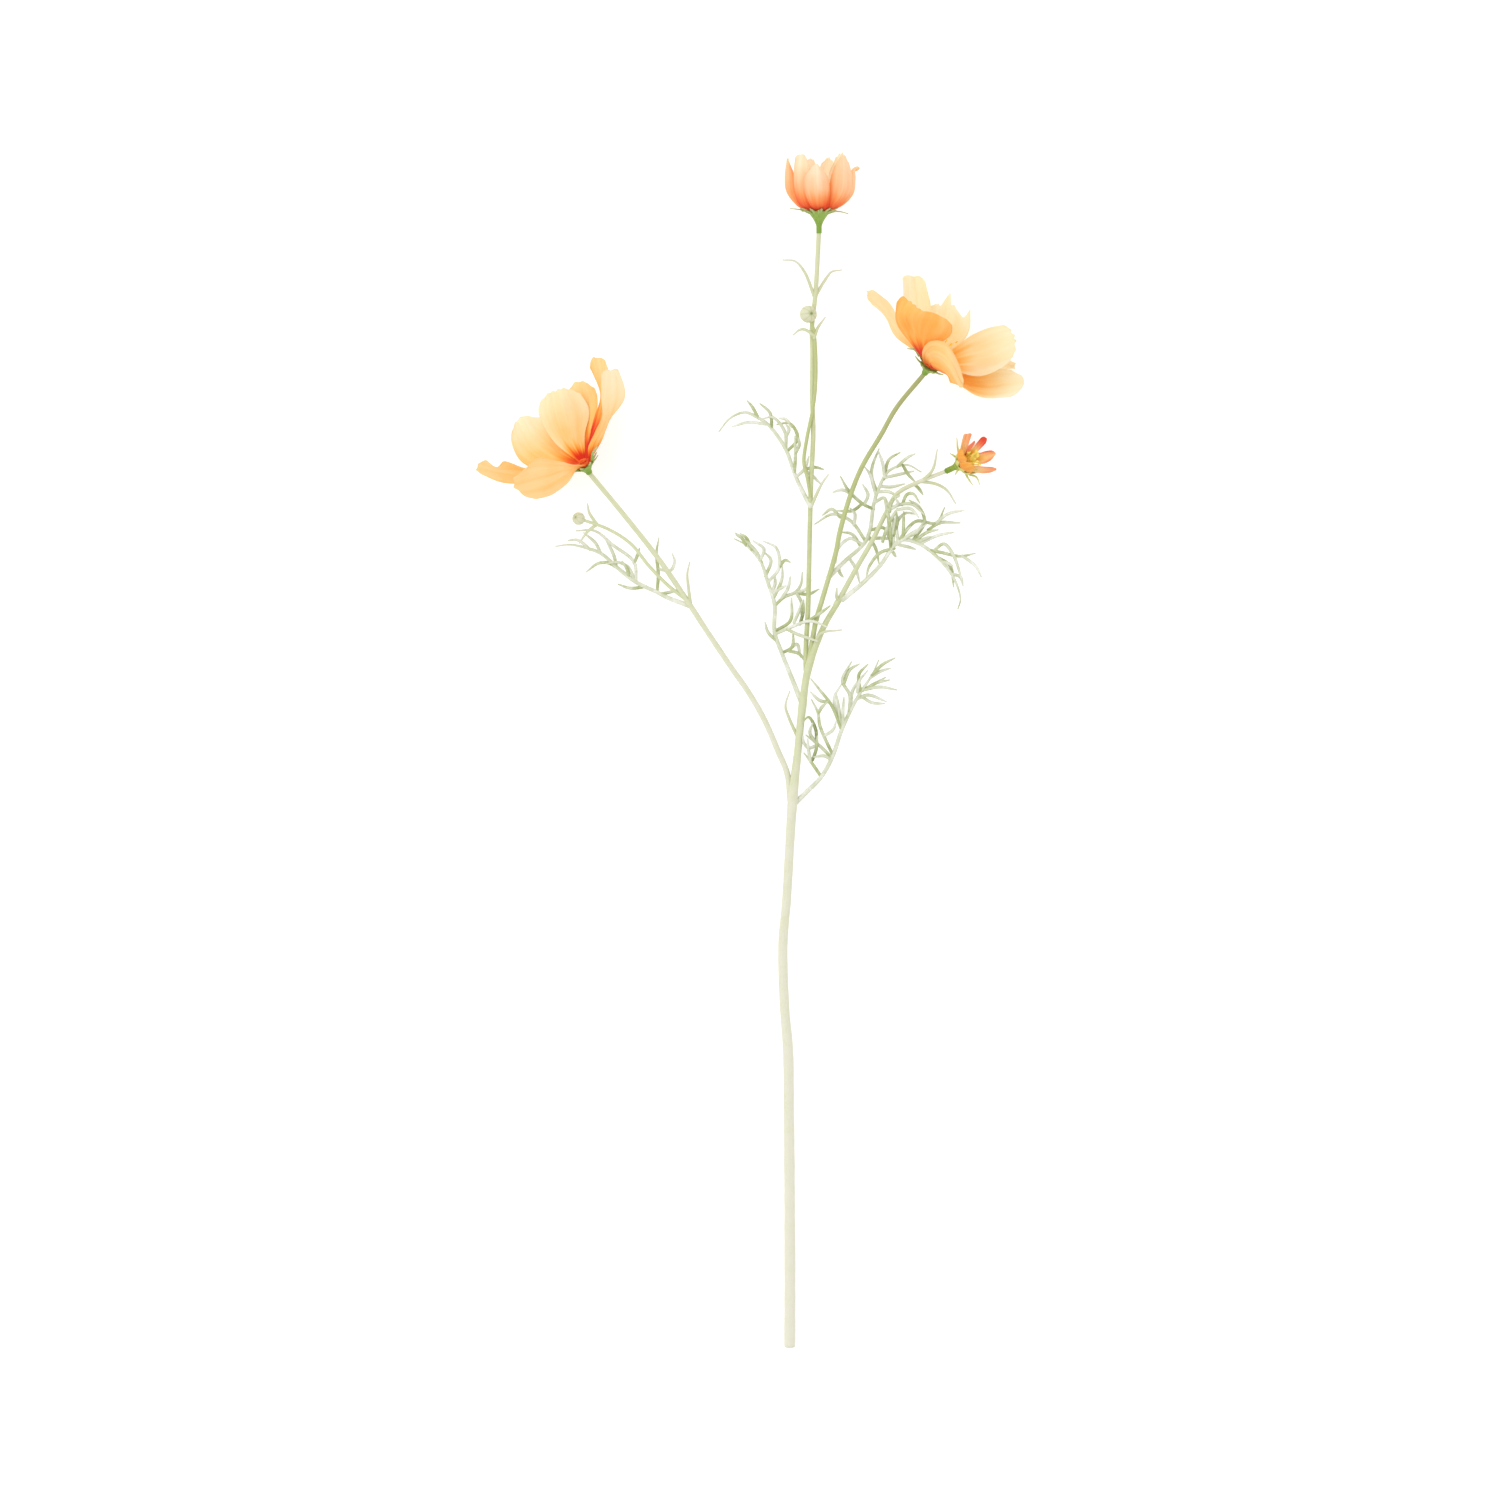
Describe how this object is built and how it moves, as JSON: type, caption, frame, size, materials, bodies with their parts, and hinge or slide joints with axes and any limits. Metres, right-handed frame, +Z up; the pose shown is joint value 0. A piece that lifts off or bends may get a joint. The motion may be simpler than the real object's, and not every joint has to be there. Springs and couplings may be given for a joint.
{
  "type": "cosmos flower spray",
  "caption": "Cut cosmos spray lying on a surface: a slender branching stem with broad open blooms, a half-open flower, a small daisy, round buds and feathery leaves.",
  "frame": {"origin": "on the surface that the spray lies on, under the middle of its box", "axes": "+Y along the stem from its cut foot to the flowers, +X across the spray to the right as the flowers point away, +Z up from the surface"},
  "size_m": [0.2912, 0.6354, 0.0773],
  "materials": {
    "stem": "matt pale sage",
    "leaf": "matt pale grey-green",
    "bud": "matt beige-green",
    "calyx": "matt fresh green",
    "bloom_petal": "fine cloth, apricot with an orange base",
    "half_open_petal": "fine cloth, peach with a coral base",
    "daisy_petal": "fine cloth, orange to coral red",
    "disc": "matt golden yellow"
  },
  "bodies": {
    "root": {"stem": "stem", "centre_bud": "bud", "left_bud": "bud", "left_frond": "leaf", "upper_left_frond": "leaf", "middle_left_frond": "leaf", "lower_right_frond": "leaf", "right_frond": "leaf", "arching_frond": "leaf", "left_bloom_petals": "bloom_petal", "left_bloom_calyx": "calyx", "left_bloom_disc": "disc", "right_bloom_petals": "bloom_petal", "right_bloom_calyx": "calyx", "right_bloom_disc": "disc", "top_flower_petals": "half_open_petal", "top_flower_calyx": "calyx", "top_flower_disc": "disc", "daisy_petals": "daisy_petal", "daisy_calyx": "calyx", "daisy_disc": "disc"}
  },
  "joints": []
}
